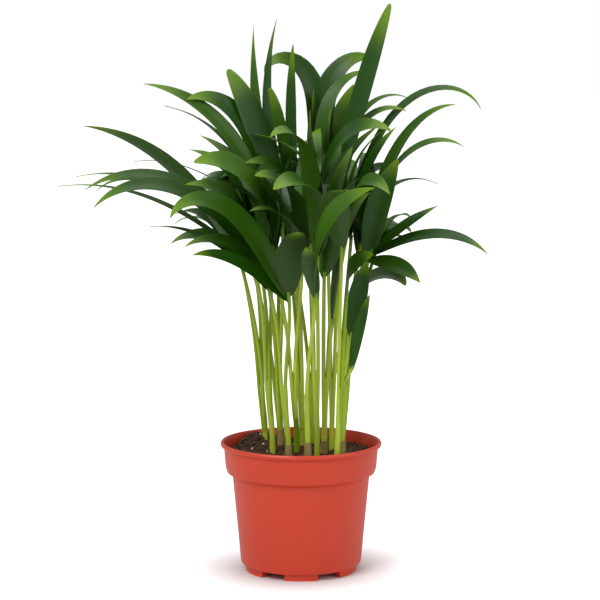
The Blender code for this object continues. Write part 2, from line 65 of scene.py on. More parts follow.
MM = 0.001
SEED = 5
RIM_RADIUS = round(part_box("pot")[1].x / MM, 2)
POT_HEIGHT = round(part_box("pot")[1].z / MM, 2)

GAP = 0.3

# Pot: a drop is measured from the band's foot or the pot's top, and an inset from the radius beside it
BAND_FOOT_Z = 77.5
BAND_RADIUS = 56.2
BAND_DROP = 3.6
BAND_INSET = 1.2
BAND_DROP_INSIDE = 1.0
BODY_TOP_RADIUS = 51.1
BODY_TOP_DROP = 6.0
BODY_TOP_DROP_INSIDE = 6.5
BODY_FOOT_RADIUS = 45.0
BODY_FOOT_RISE = 2.4
BASE_RADIUS = 42.3
BASE_EDGE = 0.8
LIP_DROP = 4.6
LIP_INSET = 2.6
LIP_CURVE = ((0.5, 2.9), (0.0, 1.2), (0.6, 0.0))
LIP_WIDTH = 2.2
WALL = 1.5
FOOT_HEIGHT = 4.6
FOOT_TOP = FOOT_HEIGHT + 0.5 * WALL
FOOT_RADIUS = 41.8
FOOT_WIDTH = 5.0
FOOT_SPAN = 34.0
FOOT_COUNT = 6
FOOT_STEPS = 6
FIRST_FOOT_FACING = -90.0
PAD_RADIUS = 8.0
PAD_SIDES = 32
POT_SIDES = 144
POT_CREASE = 32.0

# Soil: its edge follows the wall, which is wider at the soil's level than at the band's foot
SOIL_LEVEL = 88.0
SOIL_WIDENING = 1.4
SOIL_EDGE = BAND_RADIUS - WALL - GAP + SOIL_WIDENING
SOIL_FLOOR = SOIL_LEVEL - 12.0
SOIL_FLOOR_RADIUS = SOIL_EDGE - 3.0
SOIL_RINGS = 46
SOIL_SETTLED = 1.2
LUMP_HEIGHT = 1.0
LUMP_SCALE = 0.16
LUMP_LAYER = 3.0
LUMP_FRACTAL = (0.8, 2.1, 4)
MOUND_PLACE = (-34.0, 38.0)
MOUND_HEIGHT = 8.0
MOUND_SPREAD = 13.0

# Crumbs, perlite and fibres
CRUMB_CORNERS = ((1, 0, 0), (-1, 0, 0), (0, 1, 0), (0, -1, 0), (0, 0, 1), (0, 0, -1))
CRUMB_FACES = ((0, 2, 4), (2, 1, 4), (1, 3, 4), (3, 0, 4), (2, 0, 5), (1, 2, 5), (3, 1, 5), (0, 3, 5))
CRUMB_PULL = 0.35
CRUMB_RISE = 0.25
CRUMB_SIZES = (0.7, 4.2)
CRUMB_CREASE = 80.0
CRUMB_LIGHTENING = 1.9
PERLITE_SIZES = (1.0, 3.8)
SMALL_GRAIN_BIAS = 2.2
GRAIN_REACH = SOIL_EDGE - 2.0
FIBRE_REACH = SOIL_EDGE - 9.0
FIBRE_LENGTHS = (4.0, 11.0)
FIBRE_RADIUS = 0.22
FIBRE_RISE = 0.7
FIBRE_RINGS = 7
FIBRE_WAVE = 0.8
FIBRE_WAVE_TURN = 5.0

# Canes and petioles: a stiffness is the share of the length that holds its first and last direction
CANE_FOOT_RADIUS = 2.3
CANE_TOP_RADIUS = 1.8
CANE_SIDES = 8
CANE_RINGS = 5
CANE_STIFFNESS = 0.35
GROUND_TESTS = 9
PETIOLE_RADIUS = 1.25
PETIOLE_TIP_RADIUS = 1.1
PETIOLE_SIDES = 6
PETIOLE_RINGS = 6
PETIOLE_STIFFNESS = 0.36
PETIOLE_START_LEAN = (0.4, 0.4, 1.0)
HEADING_FROM_FOOT = 1.2
HEADING_TO_LEAFLETS = 0.35

# Finer stems: a petiole slips into its cane at two places, each a share of its seat's offset and a depth
FINE_SIDES = 10
FINE_CANE_RINGS = 14
FINE_CANE_TAPER = 0.5
FINE_PETIOLE_RINGS = 26
STEM_FULLNESS = 0.25
CANE_SUNK = 2.0
CANE_COLOUR_REACH = 0.4
SLIP_PLACES = ((0.3, 36.0), (0.9, 8.0))
SHEATHED_CANES = (3, 6, 8, 11, 13)
SHEATH_RINGS = 3
SHEATH_THICKNESS = (0.9, 0.35)
SHEATH_DARKENING = 0.4

# Leaflets
PATH_STEPS = 48
ROOT_SUNK = 4.0
ROOT_STEP = 2.0
LEAF_THICKNESS = 1.5
LEAF_SLENDERNESS = 95.0
ROOT_HALF_WIDTH = 1.0
FOLD = 0.16
WIDTH_RISE = 0.55
CLEARANCE = 0.3

# What would touch another frond swings in depth, by the first of SWINGS that clears it
SWING_POWER = 1.5
SWING_STEP = 3.0
SWING_STEPS = 20
SWINGS = [0.0, *(side * SWING_STEP * k for k in range(1, SWING_STEPS + 1) for side in (-1, 1))]

# Finer leaflets: rings along and points across, then the section's fold, droop, midrib, pleats and thickness
LEAF_RINGS = 26
LEAF_RING_POWER = 1.6
LEAF_ACROSS = 6
LEAF_FULLNESS = 1.1
TIP_SHARPNESS = 0.5
TIP_POWER = 6
FOLD_LIFT = 1.6
FOLD_POWER = 1.3
DROOP = 0.08
MIDRIB_HEIGHT = 0.35
MIDRIB_WIDTH = 0.7
MIDRIB_GROOVE = 0.3
PLEAT_HEIGHT = 0.10
PLEAT_TURN = 9.0
LEAF_HALF_THICKNESS = 0.22
EDGE_THINNING = 0.5
CREASE = 50.0

# Leaf and stem colours: the mottle's darker share, the veins, and the turn to the tip's colour, which on a
# leaflet is its own yellow-green end together with painted glow of light shining through it, and on a stem a
# deeper green
VEIN_COUNT = 34.0
VEIN_RELIEF = 0.35
VEIN_DEPTH = 0.0001
LEAF_DARKENING = 0.7
LEAF_MOTTLE_SCALE = 60.0
LEAF_MOTTLE_SHARE = 0.8
LEAF_GLOSS = 0.32
# The turn to the tip colour: on a leaflet partly its own yellow-green end, partly painted glow of light
# shining through it
TIP_TINT_AND_GLOW_START = 0.76
TIP_TINT_AND_GLOW_STRENGTH = 0.8
PALE_RARITY = 2.0
UNDER_ROUGHENING = 0.15

# Stage, in metres: the floor glows to white only away from the pot, so that the shadow under it shows
FLOOR_REACH = 12.0
FLOOR_SHADE = (0.78, 0.78, 0.78, 1.0)
FLOOR_GLOW = 0.85
GLOW_START = 0.045
GLOW_FULL = 0.11
WHITE = (1.0, 1.0, 1.0, 1.0)

# Each light's name, place, width and the setting that holds its power
LIGHT_AIM = (0.0, 0.0, 0.22)
LIGHTS = (
    ("key_light", (-0.9, -1.2, 1.5), 1.0, "key"),
    ("fill_light", (1.3, -0.9, 0.8), 1.2, "fill"),
    ("top_light", (0.1, 0.3, 1.8), 1.2, "fill"),
)
SENSOR_WIDTH = 36.0
CAMERA_SHIFT = -1.0 / 600.0

# How a kind of leaflet narrows to its tip, how late along it the bend comes, and its stations
Kind = namedtuple("Kind", "taper bend_power segments")
KINDS = {
    "strap": Kind(0.30, 1.6, 6),
    "blade": Kind(0.50, 1.6, 6),
    "lance": Kind(0.75, 1.6, 6),
    "thread": Kind(1.00, 1.6, 6),
    "hook": Kind(0.65, 3.2, 8),
    "arch": Kind(0.55, 5.0, 8),
}

# A bearing is measured from +X towards +Y, a lift above the horizon where the leaflet starts, a bend is
# how far it has turned down at its tip, a sway how far it has turned sideways, and a roll tips its face
# about its length.
Leaflet = namedtuple("Leaflet", "kind bearing lift bend length sway width roll")
Frond = namedtuple("Frond", "cane node leaflets")
Cane = namedtuple("Cane", "foot top")

CANES = [
    Cane((-27, 28), (-30, 24, 135)),
    Cane((-21, -2), (-24, 0, 142)),
    Cane((-9, -18), (-13, -12, 140)),
    Cane((-3, 2), (-6, -14, 150)),
    Cane((1, 22), (0, 14, 138)),
    Cane((5, -46), (4, -42, 138)),
    Cane((12, -16), (11, -18, 152)),
    Cane((17, -4), (18, -6, 145)),
    Cane((23, 12), (24, 12, 142)),
    Cane((26, -42), (29, -38, 142)),
    Cane((30, -24), (33, -20, 142)),
    Cane((30, 26), (32, 24, 134)),
    Cane((-15, 24), (-18, 28, 134)),
    Cane((8, 36), (8, 40, 137)),
    Cane((18, 36), (19, 42, 136)),
]

# Fronds as they stand seen from the front: the cane, the place of the node that the leaflets spring from,
# and each leaflet's kind, bearing, lift, bend, length, sway, width and roll
LAID_FRONDS = {
    "front_olive": (3, (-9, -46, 213),
        ("blade", -84, 70, 56, 70, 6, 19, 0),
        ("hook", -178, 62, 128, 130, 29, 19, -50),
        ("lance", 178, 46, 54, 89, 50, 12, -50),
    ),
    "low_left": (3, (-24, -30, 217),
        ("lance", -159, 64, 98, 83, 2, 11, -50),
        ("thread", 164, 48, 53, 104, 17, 7, -30),
    ),
    "left_reach": (2, (-36, -20, 235),
        ("lance", -170, 59, 104, 148, 19, 14, -45),
        ("thread", 171, 40, 48, 160, 10, 7, -20),
    ),
    "left_arch": (2, (-33, -6, 243),
        ("lance", -175, 53, 87, 150, 15, 12, -40),
        ("lance", -115, 67, 78, 95, -41, 14, -50),
    ),
    "left_back": (1, (-40, 16, 247),
        ("thread", 163, 39, 52, 149, 6, 7, -30),
        ("hook", -166, 39, 83, 131, -10, 9, -30),
    ),
    "left_high": (1, (-47, 24, 234),
        ("lance", -168, 62, 56, 161, 2, 13, 45),
        ("lance", 127, 49, 73, 92, 7, 9, -30),
    ),
    "left_broad": (4, (-21, -24, 245),
        ("blade", -128, 81, 98, 108, -26, 20, -55),
        ("blade", -166, 94, 59, 67, 52, 15, -60),
    ),
    "upper_left": (13, (-14, 12, 259),
        ("hook", 180, 74, 99, 135, 31, 20, -60),
        ("strap", 179, 80, 24, 126, 21, 18, -80),
    ),
    "upper_reach": (2, (-24, 0, 258),
        ("lance", -163, 76, 70, 151, -13, 14, -50),
        ("thread", 149, 72, 63, 131, 21, 6, -20),
        ("lance", 170, 69, 60, 91, -2, 12, -45),
    ),
    "inner_left": (13, (-20, 36, 254),
        ("lance", 172, 69, 49, 96, -11, 11, -40),
        ("thread", 156, 78, -14, 158, -7, 10, -75),
        ("lance", 167, 48, 57, 130, -1, 4, 0),
        ("lance", -160, 51, 67, 100, -15, 12, 20),
    ),
    "top_left": (5, (-8, 26, 258),
        ("lance", 171, 73, -35, 157, 40, 9, -70),
        ("strap", -113, 80, 14, 110, -18, 18, -80),
    ),
    "top_spike": (5, (-4, -2, 255),
        ("blade", 119, 84, -11, 139, 18, 9, -70),
        ("lance", -110, 84, 102, 90, -36, 15, -50),
    ),
    "top_arch": (14, (11, 46, 269),
        ("arch", 180, 92, 200, 148, 0, 16, -70),
        ("arch", 0, 87, 128, 142, 0, 18, 70),
        ("blade", -98, 91, 14, 95, -5, 12, 80),
    ),
    "top_right_back": (15, (18, 40, 266),
        ("hook", 43, 95, 119, 133, -28, 11, 40),
        ("blade", -51, 87, 28, 104, 35, 14, -70),
        ("blade", -82, 78, 5, 87, 6, 15, 90),
    ),
    "tall_strap": (9, (20, 6, 255),
        ("strap", -12, 78, 8, 174, 17, 12.5, 80),
        ("blade", -156, 75, -2, 96, 60, 14, 90),
    ),
    "centre_pair": (7, (8, -26, 252),
        ("hook", -90, 78, 119, 115, -46, 20, -30),
        ("hook", -70, 73, 112, 128, 49, 20, 50),
        ("lance", -11, 77, 44, 105, -8, 12, -30),
    ),
    "centre_front": (7, (12, -44, 243),
        ("blade", -84, 80, 114, 101, -55, 22, -30),
        ("blade", -55, 67, 18, 94, -9, 22, 30),
    ),
    "centre_glossy": (4, (1, -22, 243),
        ("blade", -91, 75, 82, 93, -54, 21, -30),
        ("lance", -122, 61, 78, 74, -14, 13, -20),
    ),
    "right_high": (9, (30, 16, 251),
        ("hook", -5, 72, 139, 176, -7, 9, 40),
        ("hook", 34, 89, 118, 138, -24, 8, 30),
        ("hook", 0, 89, 118, 129, -18, 12, 40),
    ),
    "right_blade": (12, (37, -2, 250),
        ("lance", -55, 78, 38, 96, 23, 15, 60),
        ("thread", -24, 98, 63, 90, -3, 9, 40),
    ),
    "right_reach": (12, (45, 10, 246),
        ("hook", 3, 72, 70, 133, -27, 12, 45),
        ("hook", -56, 64, 100, 129, 45, 10, 40),
        ("thread", 56, 74, 103, 95, -54, 7, 20),
    ),
    "right_curl": (10, (29, -56, 250),
        ("lance", -70, 81, 129, 95, 17, 17, 40),
        ("blade", -121, 62, 61, 77, 59, 20, 0),
    ),
    "right_low": (11, (52, -12, 241),
        ("lance", -26, 42, 16, 62, 23, 9.5, 45),
        ("lance", -11, 30, 71, 97, -21, 10, 40),
        ("lance", -55, 0, 26, 67, -6, 14, 30),
        ("blade", 10, 83, 24, 79, 2, 16, 70),
    ),
    "right_front": (10, (33, -42, 214),
        ("blade", -75, 80, 72, 42, 60, 15, 60),
    ),
    "front_green": (6, (11, -66, 215),
        ("lance", -72, 90, 77, 102, 60, 19, 60),
        ("blade", -125, 70, 25, 46, 31, 11, 0),
    ),
    "front_brown": (8, (17, -28, 226),
        ("lance", -58, 74, 45, 77, 34, 15, -60),
        ("blade", -122, 83, 31, 44, 21, 13, 90),
    ),
    "right_sword": (8, (23, -20, 191),
        ("blade", -53, 83, 16, 85, 10, 13, 70),
    ),
    "right_lance": (11, (37, -22, 181),
        ("blade", 25, 82, 14, 57, 1, 13, 70),
    ),
    "right_sprig": (10, (38, -34, 158),
        ("blade", 0, 81, 11, 57, 0, 8, 70),
    ),
    "right_inner": (12, (47, 20, 227),
        ("blade", -99, 65, -12, 55, -15, 13, 70),
        ("blade", -48, 78, -7, 62, 27, 15, 70),
    ),
}
FRONDS = {
    name: Frond(cane, node, [Leaflet(*leaflet) for leaflet in leaflets])
    for name, (cane, node, *leaflets) in LAID_FRONDS.items()
}

# Fronds behind the ones that the front shows: the cane each rises from, and its bearing
REAR_FRONDS = (
    (14, 95), (15, 65), (13, 130), (9, 35), (1, 150),
    (5, 110), (14, 130), (15, 40), (12, 20), (13, 165),
)
REAR_SEED = 11
REAR_NODE_HEIGHTS = (205.0, 285.0)
REAR_NODE_LEAN = (14.0, 34.0)
REAR_SPREAD = (-42.0, 0.0, 40.0)
SHORTEST = 40.0
TRIM = 5.0
CROWN_CENTRE = np.array((-12.0, 20.0, 245.0))
CROWN_RADII = np.array((96.0, 130.0, 105.0))

# The ranges that a leaflet laid by rule is drawn from: behind, and in the heart of the crown
Growth = namedtuple("Growth", "turns lifts bends lengths sways widths rolls")
DRAWN_KINDS = ("lance", "blade", "hook")
REAR_GROWTH = Growth((-10, 10), (42, 84), (55, 115), (85, 150), (-15, 15), (13, 19), (-35, 35))
INNER_GROWTH = Growth((10, 170), (55, 86), (55, 115), (60, 115), (-20, 20), (12, 18), (-50, 50))
INNER_LEAFLETS = 4
INNER_HEIGHT = 228.0
INNER_SHARE = 0.9


def unit(vector):
    return vector / np.linalg.norm(vector)


def turned_shape(profile, sides):
    """Points and faces of a turned form: profile is (radius, height) from the axis out and back to it."""
    points = []
    rings = []
    for radius, height in profile:
        if radius == 0.0:
            rings.append([len(points)])
            points.append((0.0, 0.0, height))
            continue
        rings.append(range(len(points), len(points) + sides))
        for k in range(sides):
            angle = math.tau * k / sides
            points.append((radius * math.cos(angle), radius * math.sin(angle), height))
    return points, bridged(rings, sides)


def bridged(rings, sides):
    """Triangles between rings of sides points; a ring of one point closes to it."""
    faces = []
    for lower, upper in zip(rings, rings[1:]):
        for k in range(sides):
            following = (k + 1) % sides
            if len(lower) > 1:
                faces.append((lower[k], lower[following], upper[following if len(upper) > 1 else 0]))
            if len(upper) > 1:
                faces.append((lower[k if len(lower) > 1 else 0], upper[following], upper[k]))
    return faces


def fan(ring):
    """Triangles that close a ring."""
    return [(ring[0], ring[k], ring[k + 1]) for k in range(1, len(ring) - 1)]


def resampled(places, share, vectors):
    """The vectors known along share, read again at places."""
    return np.stack([np.interp(places, share, vectors[:, k]) for k in range(3)], axis=1)


def pot_outside():
    """The outer profile from the middle of the underside up to the lip."""
    return [
        (0.0, FOOT_HEIGHT),
        (BASE_RADIUS, FOOT_HEIGHT),
        (BODY_FOOT_RADIUS - BASE_EDGE, FOOT_HEIGHT + BASE_EDGE),
        (BODY_FOOT_RADIUS, FOOT_HEIGHT + BODY_FOOT_RISE),
        (BODY_TOP_RADIUS, BAND_FOOT_Z - BODY_TOP_DROP),
        (BAND_RADIUS - BAND_INSET, BAND_FOOT_Z - BAND_DROP),
        (BAND_RADIUS, BAND_FOOT_Z),
        (RIM_RADIUS - LIP_INSET, POT_HEIGHT - LIP_DROP),
        *((RIM_RADIUS - inset, POT_HEIGHT - drop) for inset, drop in LIP_CURVE),
    ]


def pot_inside():
    """The wall's inner profile from the lip down to the middle of the floor."""
    return [
        (RIM_RADIUS - LIP_WIDTH, POT_HEIGHT),
        (RIM_RADIUS - LIP_INSET - WALL, POT_HEIGHT - LIP_DROP),
        (BAND_RADIUS - WALL, BAND_FOOT_Z - BAND_DROP_INSIDE),
        (BODY_TOP_RADIUS - WALL, BAND_FOOT_Z - BODY_TOP_DROP_INSIDE),
        (BODY_FOOT_RADIUS - WALL, FOOT_HEIGHT + WALL),
        (0.0, FOOT_HEIGHT + WALL),
    ]


def foot_shape(facing):
    """A foot of the pot: a block bent round the axis."""
    points = []
    for height in (0.0, FOOT_TOP):
        for reach in (FOOT_RADIUS - FOOT_WIDTH, FOOT_RADIUS):
            for k in range(FOOT_STEPS + 1):
                angle = math.radians(facing + FOOT_SPAN * (k / FOOT_STEPS - 0.5))
                points.append((reach * math.cos(angle), reach * math.sin(angle), height))
    row = FOOT_STEPS + 1
    rows = [range(row * k, row * k + row) for k in (0, 1, 3, 2)]
    faces = [tuple(corner[k] for corner in rows) for k in (0, FOOT_STEPS)]
    for near, far in zip(rows, rows[1:] + rows[:1]):
        faces.extend((near[k], near[k + 1], far[k + 1], far[k]) for k in range(FOOT_STEPS))
    return points, faces


def soil_height(x, y):
    """The soil's top: level, with a mound that rises to the rim behind the left-hand stems."""
    away = (x - MOUND_PLACE[0]) ** 2 + (y - MOUND_PLACE[1]) ** 2
    return SOIL_LEVEL + MOUND_HEIGHT * math.exp(-away / (2.0 * MOUND_SPREAD**2))


def soil_surface(x, y):
    """The soil's top with its lumps, a little lower than the solid's."""
    lumps = noise.fractal(Vector((x * LUMP_SCALE, y * LUMP_SCALE, LUMP_LAYER)), *LUMP_FRACTAL)
    return soil_height(x, y) - SOIL_SETTLED + LUMP_HEIGHT * lumps


def soil_shape():
    """The soil's lumpy top on rings round the axis, closed by a smaller disc lower down."""
    circle = [math.tau * k / POT_SIDES for k in range(POT_SIDES)]
    points = [(0.0, 0.0, soil_surface(0.0, 0.0))]
    rings = [[0]]
    for step in range(1, SOIL_RINGS + 1):
        reach = SOIL_EDGE * step / SOIL_RINGS
        rings.append(range(len(points), len(points) + POT_SIDES))
        for turn in circle:
            x = reach * math.cos(turn)
            y = reach * math.sin(turn)
            points.append((x, y, soil_surface(x, y)))
    rings.append(range(len(points), len(points) + POT_SIDES))
    reach = SOIL_FLOOR_RADIUS
    points.extend((reach * math.cos(turn), reach * math.sin(turn), SOIL_FLOOR) for turn in circle)
    rings.append([len(points)])
    points.append((0.0, 0.0, SOIL_FLOOR))
    return points, bridged(rings, POT_SIDES)


def scattered(draw, reach):
    """A place on the soil within reach of the axis, evenly spread."""
    radius = reach * math.sqrt(draw.random())
    turn = draw.uniform(0.0, math.tau)
    return radius * math.cos(turn), radius * math.sin(turn)


def crumb_shape(draw, x, y, size):
    """A lumpy grain: an eight-faced stone pulled about."""
    centre = np.array((x, y, soil_surface(x, y) + CRUMB_RISE * size))
    pulls = [[draw.uniform(-CRUMB_PULL, CRUMB_PULL) for _ in range(3)] for _ in CRUMB_CORNERS]
    corners = np.array(CRUMB_CORNERS, dtype=float) + np.array(pulls)
    return [centre + corner * size * 0.5 for corner in corners], CRUMB_FACES


def fibre_line(draw):
    """A short wavy strand lying on the soil."""
    x, y = scattered(draw, FIBRE_REACH)
    turn = draw.uniform(0.0, math.tau)
    span = draw.uniform(*FIBRE_LENGTHS)
    line = []
    for step in np.linspace(-0.5, 0.5, FIBRE_RINGS):
        px = x + math.cos(turn) * span * step
        py = y + math.sin(turn) * span * step + math.sin(step * FIBRE_WAVE_TURN) * FIBRE_WAVE
        line.append((px, py, soil_surface(px, py) + FIBRE_RISE))
    return np.array(line)


def tube_shape(line, radii, sides, level_top=False):
    """Points and faces of a limb along line, square to it all the way and cut level at its foot."""
    tangents = np.gradient(line, axis=0)
    tangents[0] = (0.0, 0.0, 1.0)
    if level_top:
        tangents[-1] = (0.0, 0.0, 1.0)
    side = np.array((1.0, 0.0, 0.0))
    points = []
    rings = []
    for place, tangent, radius in zip(line, tangents, radii):
        tangent = unit(tangent)
        side = unit(side - tangent * (side @ tangent))
        other = np.cross(tangent, side)
        rings.append(range(len(points), len(points) + sides))
        for k in range(sides):
            angle = math.tau * (k + 0.5) / sides
            points.append(place + radius * (math.cos(angle) * side + math.sin(angle) * other))
    return points, bridged(rings, sides) + fan(rings[0]) + fan(rings[-1])


def fine_tube(line, radii, slot=0, colour_reach=1.0):
    """A fine limb with its material slot, and how far along its colour ramp each point lies."""
    points, faces = tube_shape(line, radii, FINE_SIDES)
    along = [colour_reach * (k // FINE_SIDES / (len(line) - 1)) for k in range(len(points))]
    return points, faces, [slot] * len(faces), along


def bezier(corners, share):
    a, b, c, d = corners
    rest = 1.0 - share
    return rest**3 * a + 3.0 * share * rest**2 * b + 3.0 * share**2 * rest * c + share**3 * d


def cane_line(cane):
    """From the soil, a gap clear of it, to the cane's top."""
    x, y = cane.foot
    ground = max(
        soil_height(x + CANE_FOOT_RADIUS * math.cos(turn), y + CANE_FOOT_RADIUS * math.sin(turn))
        for turn in np.linspace(0.0, math.tau, GROUND_TESTS)
    )
    foot = np.array((x, y, ground + GAP))
    top = np.array(cane.top, dtype=float)
    start = foot + (0.0, 0.0, CANE_STIFFNESS * (top[2] - foot[2]))
    end = top - CANE_STIFFNESS * (top - foot)
    return np.array([bezier((foot, start, end, top), k / (CANE_RINGS - 1)) for k in range(CANE_RINGS)])


def slipped_in(foot, cane):
    """Two places further down, where a petiole slips into its cane."""
    top = np.array(cane.top, dtype=float)
    lean = top - np.array((*cane.foot, SOIL_LEVEL))
    down = lean / lean[2]
    beside = foot - top
    return [top + beside * share - down * depth for share, depth in SLIP_PLACES]


def petiole_line(foot, node, heading, rings):
    """A gentle curve up from the cane's top to the node, leaning the way the leaflets go."""
    away = node - foot
    reach = PETIOLE_STIFFNESS * np.linalg.norm(away)
    start = foot + unit(away * PETIOLE_START_LEAN) * reach
    end = node - heading * reach
    return np.array([bezier((foot, start, end, node), share) for share in np.linspace(0.0, 1.0, rings)])


def heading_of(frond, foot, node):
    """The petiole's direction at its node: on from its foot, drawn a little towards the leaflets."""
    middles = [path_points(leaflet, node)[1][PATH_STEPS // 2] - node for leaflet in frond.leaflets]
    return unit(unit(node - foot) * HEADING_FROM_FOOT + unit(np.mean(middles, axis=0)) * HEADING_TO_LEAFLETS)


def path_points(leaflet, root):
    """The leaflet's midrib at even steps, with its tangents and its level left-hand directions."""
    power = KINDS[leaflet.kind].bend_power
    share = np.arange(PATH_STEPS + 1) / PATH_STEPS
    middle = (share[1:] + share[:-1]) / 2.0

    def directions(place):
        lift = np.radians(leaflet.lift - leaflet.bend * place**power)
        bearing = np.radians(leaflet.bearing + leaflet.sway * place)
        level = np.stack([np.cos(bearing), np.sin(bearing)], axis=1) * np.cos(lift)[:, None]
        return np.column_stack([level, np.sin(lift)]), bearing

    steps, _ = directions(middle)
    line = np.vstack([np.zeros(3), np.cumsum(steps, axis=0)]) * leaflet.length / PATH_STEPS + root
    tangents, bearing = directions(share)
    left = np.stack([-np.sin(bearing), np.cos(bearing), np.zeros_like(bearing)], axis=1)
    return share, line, tangents, left


def half_widths(leaflet, share):
    """Half the leaflet's width: a quick rise from its root, then its kind's taper to the tip."""
    taper = KINDS[leaflet.kind].taper
    total = WIDTH_RISE + taper
    peak = (WIDTH_RISE / total) ** WIDTH_RISE * (taper / total) ** taper
    half = 0.5 * leaflet.width * share**WIDTH_RISE * (1.0 - share) ** taper / peak
    return np.maximum(half, ROOT_HALF_WIDTH * (1.0 - share))


def leaf_frame(leaflet, root, swing):
    """The midrib's stations: share, place, direction across the blade and its face's normal.

    A swing carries the tip that far in depth and leaves the root where it is.
    """
    share, line, tangents, left = path_points(leaflet, root)
    line = line + np.outer(swing * share**SWING_POWER, (0.0, 1.0, 0.0))
    roll = math.radians(leaflet.roll)
    across = left * math.cos(roll) + np.cross(tangents, left) * math.sin(roll)
    return share, line, across, np.cross(tangents, across)


def coarse_leaf(leaflet, root, swing):
    """The solid's folded blade, grown by the clearance that its neighbours have to leave."""
    every = PATH_STEPS // KINDS[leaflet.kind].segments
    share, line, across, normal = (values[::every] for values in leaf_frame(leaflet, root, swing))
    half = half_widths(leaflet, share)
    thickness = max(LEAF_THICKNESS, leaflet.length / LEAF_SLENDERNESS) / 2.0 + CLEARANCE
    points = []
    rings = []
    for centre, side, up, width in zip(line[:-1], across, normal, half):
        edge = side * (width + CLEARANCE)
        lifted = up * (width * FOLD)
        rings.append(range(len(points), len(points) + 4))
        points.append(centre - edge + lifted)
        points.append(centre + up * thickness)
        points.append(centre + edge + lifted)
        points.append(centre - up * thickness)
    rings.append((len(points),))
    points.append(line[-1])
    return points, bridged(rings, 4) + fan(rings[0])


def section_height(part, width, place, face):
    """How far the leaf's skin stands off its flat: part is -1 to 1 across, face 1 above and -1 below."""
    out = abs(part)
    fold = width * FOLD * out**FOLD_POWER * FOLD_LIFT - width * DROOP * part * part
    midrib = MIDRIB_HEIGHT * math.exp(-((part * width / MIDRIB_WIDTH) ** 2)) * (1.0 - place)
    pleat = PLEAT_HEIGHT * math.cos(part * PLEAT_TURN) * (1.0 - out)
    thickness = 0.0 if out == 1.0 else LEAF_HALF_THICKNESS * (1.0 - EDGE_THINNING * out)
    return fold + pleat + face * thickness - (midrib if face < 0 else MIDRIB_GROOVE * midrib)


def fine_leaf(leaflet, root, swing):
    """A closed thin leaf with slot 1 above and slot 2 below, and each point's share along and across it."""
    share, *vectors = leaf_frame(leaflet, root, swing)
    places = 1.0 - (1.0 - np.linspace(0.0, 1.0, LEAF_RINGS + 1)) ** LEAF_RING_POWER
    line, across, normal = (resampled(places, share, values) for values in vectors)
    half = half_widths(leaflet, places) * LEAF_FULLNESS * (1.0 - TIP_SHARPNESS * places**TIP_POWER)
    parts = np.linspace(-1.0, 1.0, LEAF_ACROSS + 1)
    round_section = [(1.0, part) for part in parts] + [(-1.0, part) for part in parts[-2:0:-1]]
    count = len(round_section)
    points = []
    along = []
    side = []
    rings = []
    for place, centre, sideways, up, width in zip(places[:-1], line, across, normal, half):
        rings.append(range(len(points), len(points) + count))
        for face, part in round_section:
            height = section_height(part, width, place, face)
            points.append(centre + sideways * (width * part) + up * height)
            along.append(place)
            side.append(float(part))
    rings.append([len(points)])
    points.append(line[-1])
    along.append(1.0)
    side.append(0.0)
    faces = []
    slots = []
    for lower, upper in zip(rings, rings[1:]):
        for k in range(count):
            following = (k + 1) % count
            far_edge = (upper[0],) if len(upper) == 1 else (upper[following], upper[k])
            faces.append((lower[k], lower[following], *far_edge))
            slots.append(1 if k < LEAF_ACROSS else 2)
    faces.append(tuple(rings[0]))
    slots.append(2)
    return points, faces, slots, along, side


def drawn_leaflet(draw, middle, growth):
    """A leaflet drawn from the growth's ranges, its bearing turned from middle."""
    kind = draw.choice(DRAWN_KINDS)
    turn, *others = [draw.uniform(*ends) for ends in growth]
    return Leaflet(kind, middle + turn, *others)


def in_crown(leaflet, root, radii):
    """Whether the leaflet's tip is inside the crown's ellipsoid."""
    tip = path_points(leaflet, root)[1][-1]
    return np.linalg.norm((tip - CROWN_CENTRE) / radii) < 1.0


def rear_fronds(draw):
    """The fronds at the back, by a seeded rule: each leaflet is trimmed until it ends inside the crown."""
    fronds = {}
    for k, (cane, bearing) in enumerate(REAR_FRONDS):
        top = np.array(CANES[cane - 1].top, dtype=float)
        lean = draw.uniform(*REAR_NODE_LEAN)
        turn = math.radians(bearing)
        height = draw.uniform(*REAR_NODE_HEIGHTS)
        node = np.array((top[0] + lean * math.cos(turn), top[1] + lean * math.sin(turn), height))
        leaflets = []
        for spread in REAR_SPREAD:
            leaflet = drawn_leaflet(draw, bearing + spread, REAR_GROWTH)
            while leaflet.length > SHORTEST and not in_crown(leaflet, node, CROWN_RADII):
                leaflet = leaflet._replace(length=leaflet.length - TRIM)
            leaflets.append(leaflet)
        fronds[f"rear_{k + 1:02d}"] = Frond(cane, tuple(node), leaflets)
    return fronds


def inner_leaflets(draw, node):
    """Extra leaflets on a high node that fill the heart of the crown, where they end inside it."""
    if node[2] <= INNER_HEIGHT:
        return []
    root = node - (0.0, 0.0, ROOT_SUNK)
    drawn = [drawn_leaflet(draw, 0.0, INNER_GROWTH) for _ in range(INNER_LEAFLETS)]
    radii = CROWN_RADII * INNER_SHARE
    return [(leaflet, root, 0.0) for leaflet in drawn if in_crown(leaflet, root, radii)]


class Space:
    """What is already standing, node by node, so that what comes next can be kept clear of it."""

    def __init__(self):
        self.taken = []

    def measured(self, points, faces):
        cloud = np.array(points)
        tree = BVHTree.FromPolygons([tuple(point) for point in points], faces)
        return cloud.min(axis=0), cloud.max(axis=0), tree

    def add(self, owner, points, faces):
        self.taken.append((owner, *self.measured(points, faces)))

    def is_clear(self, owner, points, faces):
        low, high, tree = self.measured(points, faces)
        for other, other_low, other_high, other_tree in self.taken:
            if other == owner or np.any(low > other_high) or np.any(high < other_low):
                continue
            if tree.overlap(other_tree):
                return False
        return True


def seats(count):
    """Where petioles stand side by side on one cane's top."""
    if count == 1:
        return [np.zeros(3)]
    reach = (PETIOLE_RADIUS + GAP) / math.sin(math.pi / count)
    turns = (math.pi + math.tau * k / count for k in range(count))
    return [np.array((reach * math.cos(turn), reach * math.sin(turn), 0.0)) for turn in turns]


